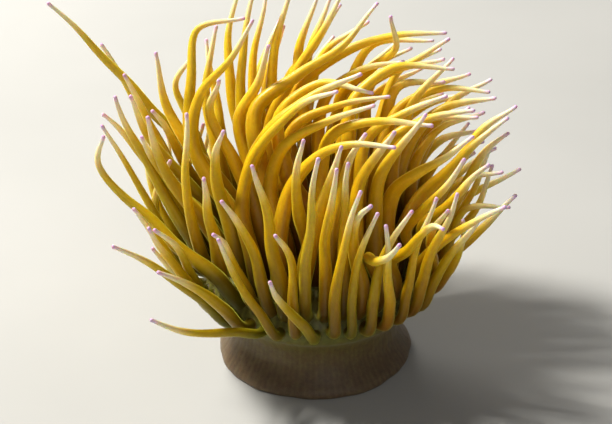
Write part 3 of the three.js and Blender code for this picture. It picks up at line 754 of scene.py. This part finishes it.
def body_mesh(room):
    """Foot, column, crown, disc and mouth, in rings from the underside to the mouth's floor."""
    turn = np.arange(TURN) * 2 * math.pi / TURN
    round_ = np.stack([np.cos(turn), np.sin(turn)], 1)
    pleat = np.cos(STRIPES / 2 * turn + 0.3 * np.sin(7 * turn))
    lobes = 0.35 * np.sin(5 * turn + 1) + 0.25 * np.sin(11 * turn) + 0.14 * np.sin(23 * turn + 2)
    pucker = np.cos(26 * turn)
    rings, along, mouth, kinds = [], [], [], []

    def add_ring(long, short, height, share, mouth_share, kind):
        outline = round_ * np.stack([long, short], 1)
        rings.append(np.column_stack([outline, np.broadcast_to(height, TURN)]))
        along.append(share)
        mouth.append(mouth_share)
        kinds.append(kind)

    for radius, height in SIDE:
        clear = min(1, height / 5)
        margin = math.exp(-((height / 3) ** 2)) * min(1, max(0, (radius - 20) / 8))
        waver = 0.9 * np.sin(3 * turn) + 0.5 * np.sin(7 * turn + 1)
        crease = CREASE * clear * np.sin(2.4 * height + waver)
        bulges = np.sin(2 * turn + 0.9) + 0.5 * np.sin(5 * turn + 0.35 * height)
        uneven = UNEVEN * clear * bulges
        wide = (radius + 0.6 * margin * lobes + 0.05 * clear * pleat + crease + uneven) * MM
        add_ring(wide, wide, height * MM, -1 + 0.7 * min(1, height / 18), 0, COLUMN_KIND)
    for slope in np.linspace(CROWN_FROM, DISC_SLOPE, 26):
        wide = DOME_RADIUS * math.sin(math.radians(slope)) * (1 + 0.004 * pleat)
        share = (slope - DISC_SLOPE) / (CROWN_FROM - DISC_SLOPE)
        height = DOME_MIDDLE + DOME_DEPTH * math.cos(math.radians(slope))
        add_ring(wide, wide, height, -0.3 * share, 0, COLUMN_KIND if slope > 85 else DISC_KIND)
    for share, height in MOUTH:
        lip = math.exp(-(((share - 0.12) / 0.12) ** 2)) * pucker
        groove = 0.1 * np.cos(24 * turn) * math.exp(-(((share - 0.6) / 0.35) ** 2))
        long = (MOUTH_LENGTH / 2 + share * (DISC_EDGE - MOUTH_LENGTH / 2)) * (1 + 0.045 * lip)
        short = (MOUTH_WIDTH / 2 + share * (DISC_EDGE - MOUTH_WIDTH / 2)) * (1 + 0.045 * lip)
        short = np.maximum(short, 0.12 * MM)
        top = DISC_HEIGHT + (height + groove + 0.12 * lip) * MM
        add_ring(long, short, top, 0, 1 - max(0, share), DISC_KIND)
    around = np.concatenate([np.tile(turn, len(rings)), [0, 0]])
    heights = np.concatenate([np.concatenate([ring[:, 2] for ring in rings]), [0, DISC_HEIGHT]])
    values = {
        "along": np.concatenate([np.repeat(along, TURN), [-1, 0]]),
        "green_and_shade": np.full(len(around), 0.5),
        "grain": np.stack([7 * np.cos(around), 7 * np.sin(around), 0.12 * heights / MM], 1),
        "mouth": np.concatenate([np.repeat(mouth, TURN), [0, 1]]),
        "near_end": np.zeros(len(around)),
    }
    floor_of_mouth = (0, 0, DISC_HEIGHT - MOUTH_DEPTH)
    return closed_skin("body", rings, (0, 0, 0), floor_of_mouth, room, kinds, values)


# ---- The skin's map ----
MAP_MARGIN = 0.0012
BODY_ROOM = (0.32, 0.16)  # width and height of the body's share of the map


def rooms_for(sizes):
    """A room on the map for each strip of the given width and height, in rows beside the body's."""
    order = sorted(range(len(sizes)), key=lambda i: -sizes[i][1])
    scale = 8.0
    while True:
        rooms, left, low, tall = {}, BODY_ROOM[0] + MAP_MARGIN, 0.0, BODY_ROOM[1]
        for i in order:
            width, height = (scale * size for size in sizes[i])
            if left + width > 1:
                left, low, tall = 0.0, low + tall + MAP_MARGIN, 0.0
            rooms[i] = (left, low, width, height)
            left += width + MAP_MARGIN
            tall = max(tall, height)
        if low + tall <= 1:
            return [rooms[i] for i in range(len(sizes))]
        scale *= 0.985


# ---- One skin ----
def grow_skin(limbs):
    """Joins the body and its tentacles into one skin with nothing inside it."""
    bunch = bpy.data.collections.new("tentacles")
    bpy.context.scene.collection.children.link(bunch)
    flat = [(2 * math.pi * limb["widths"].mean(), reach_of(limb["line"])[-1]) for limb in limbs]
    for limb, room in zip(limbs, rooms_for(flat)):
        bunch.objects.link(bpy.data.objects.new("tentacle", tentacle_mesh(limb, room)))
    body = bpy.data.objects.new("body", body_mesh((0, 0, *BODY_ROOM)))
    bpy.context.scene.collection.objects.link(body)
    union = body.modifiers.new("union", "BOOLEAN")
    union.operation = "UNION"
    union.solver = "MANIFOLD"
    union.operand_type = "COLLECTION"
    union.collection = bunch
    joined = body.evaluated_get(bpy.context.evaluated_depsgraph_get())
    mesh = bpy.data.meshes.new_from_object(joined)
    for extra in [body, *bunch.objects]:
        bpy.data.objects.remove(extra)
    bpy.data.collections.remove(bunch)
    mesh.name = "anemone_skin"
    mesh.polygons.foreach_set("use_smooth", np.ones(len(mesh.polygons), bool))
    skin = bpy.data.objects.new("anemone_skin", mesh)
    bpy.context.scene.collection.objects.link(skin)
    return skin


limbs = read_limbs()
if len(limbs) != TENTACLES:
    raise RuntimeError(f"the frame holds {len(limbs)} tentacles, and not {TENTACLES}")
for limb in limbs:
    enliven(limb)
    root = limb["places"][0]
    leftward_painted_shade = -root[0] / DOME_RADIUS
    outness = math.hypot(root[0], root[1]) / DOME_RADIUS
    limb["phase"] = chance.uniform(0, 2 * math.pi)
    limb["swells"] = chance.uniform(14, 24)
    limb["grain"] = chance.uniform(-50, 50, 3)
    # Greener and darker for the outer ring and by chance, as the flesh's own colour, and towards the
    # left as painted shade, for tentacles that lie in shade there.
    green_and_shade = 1.1 * (outness - 0.5) + 0.3 * leftward_painted_shade + chance.normal(0, 0.15)
    limb["green_and_shade"] = float(np.clip(green_and_shade, 0, 1))
settle(limbs)
skin = grow_skin(limbs)
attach(skin, "root")
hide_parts(*sorted(frame["nodes"]))

# ---- Floor, light and camera ----
FLOOR_HALF = 3
floor_mesh = bpy.data.meshes.new("floor")
floor_corners = [(x * FLOOR_HALF, y * FLOOR_HALF, 0) for x, y in ((-1, -1), (1, -1), (1, 1), (-1, 1))]
floor_mesh.from_pydata(floor_corners, [], [(0, 1, 2, 3)])
floor = bpy.data.objects.new("floor", floor_mesh)
bpy.context.scene.collection.objects.link(floor)


def pale_floor():
    material = bpy.data.materials.new("pale_floor")
    material.use_nodes = True
    tree = material.node_tree
    tree.nodes.clear()
    place = made(tree, "ShaderNodeTexCoord", (-800, 0)).outputs["Object"]
    clouds = {"Vector": place, "Scale": 9.0, "Detail": 3.0}
    cloud = made(tree, "ShaderNodeTexNoise", (-600, 0), clouds).outputs["Fac"]
    colour = ramp(tree, (-400, 0), cloud, ((0.3, (0.45, 0.45, 0.44)), (0.7, (0.48, 0.48, 0.47))))
    matt = {"Base Color": colour, "Roughness": 1.0, "Specular IOR Level": 0.0}
    surface = made(tree, "ShaderNodeBsdfPrincipled", (0, 0), matt)
    made(tree, "ShaderNodeOutputMaterial", (300, 0), {"Surface": surface.outputs["BSDF"]})
    return material


floor_mesh.materials.append(pale_floor())


LIT_POINT = Vector((0, 0, 0.05))


def area_light(name, place, size, watts, colour):
    lamp = bpy.data.lights.new(name, "AREA")
    lamp.size = size
    lamp.energy = watts
    lamp.color = colour
    holder = bpy.data.objects.new(name, lamp)
    holder.location = place
    holder.rotation_euler = (LIT_POINT - Vector(place)).to_track_quat("-Z", "Y").to_euler()
    bpy.context.scene.collection.objects.link(holder)


area_light("key", (-0.6, 0.2, 0.9), 0.22, 20, (1, 0.97, 0.9))
area_light("rim", (-0.35, 0.95, 0.5), 0.35, 5, (1, 0.97, 0.9))
area_light("fill", (0.3, -1.1, 0.6), 0.9, 2.2, (1, 0.98, 0.95))
world = bpy.data.worlds.new("studio")
world.use_nodes = True
world.node_tree.nodes["Background"].inputs["Color"].default_value = (0.97, 0.98, 1, 1)
world.node_tree.nodes["Background"].inputs["Strength"].default_value = 0.11
bpy.context.scene.world = world
bpy.context.scene.view_settings.view_transform = "Standard"

IMAGE_WIDTH, IMAGE_HEIGHT = 612, 424
PIXEL = 0.3 * MM  # on the plane through the top of the disc
EYE_TILT = math.radians(30)
EYE_DISTANCE = 550 * MM
DISC_TOP = Vector((0, 0, 38 * MM))
DISC_PIXEL = (315, 240)  # where the top of the disc lies in the picture
camera = bpy.data.objects.new("camera", bpy.data.cameras.new("camera"))
bpy.context.scene.collection.objects.link(camera)
camera.location = DISC_TOP + EYE_DISTANCE * Vector((0, -math.cos(EYE_TILT), math.sin(EYE_TILT)))
camera.rotation_euler = (math.pi / 2 - EYE_TILT, 0, 0)
camera.data.sensor_width = 36
camera.data.lens = camera.data.sensor_width * EYE_DISTANCE / (IMAGE_WIDTH * PIXEL)
camera.data.shift_x = (IMAGE_WIDTH / 2 - DISC_PIXEL[0]) / IMAGE_WIDTH
camera.data.shift_y = (DISC_PIXEL[1] - IMAGE_HEIGHT / 2) / IMAGE_WIDTH
camera.data.clip_start = 0.01
bpy.context.scene.camera = camera
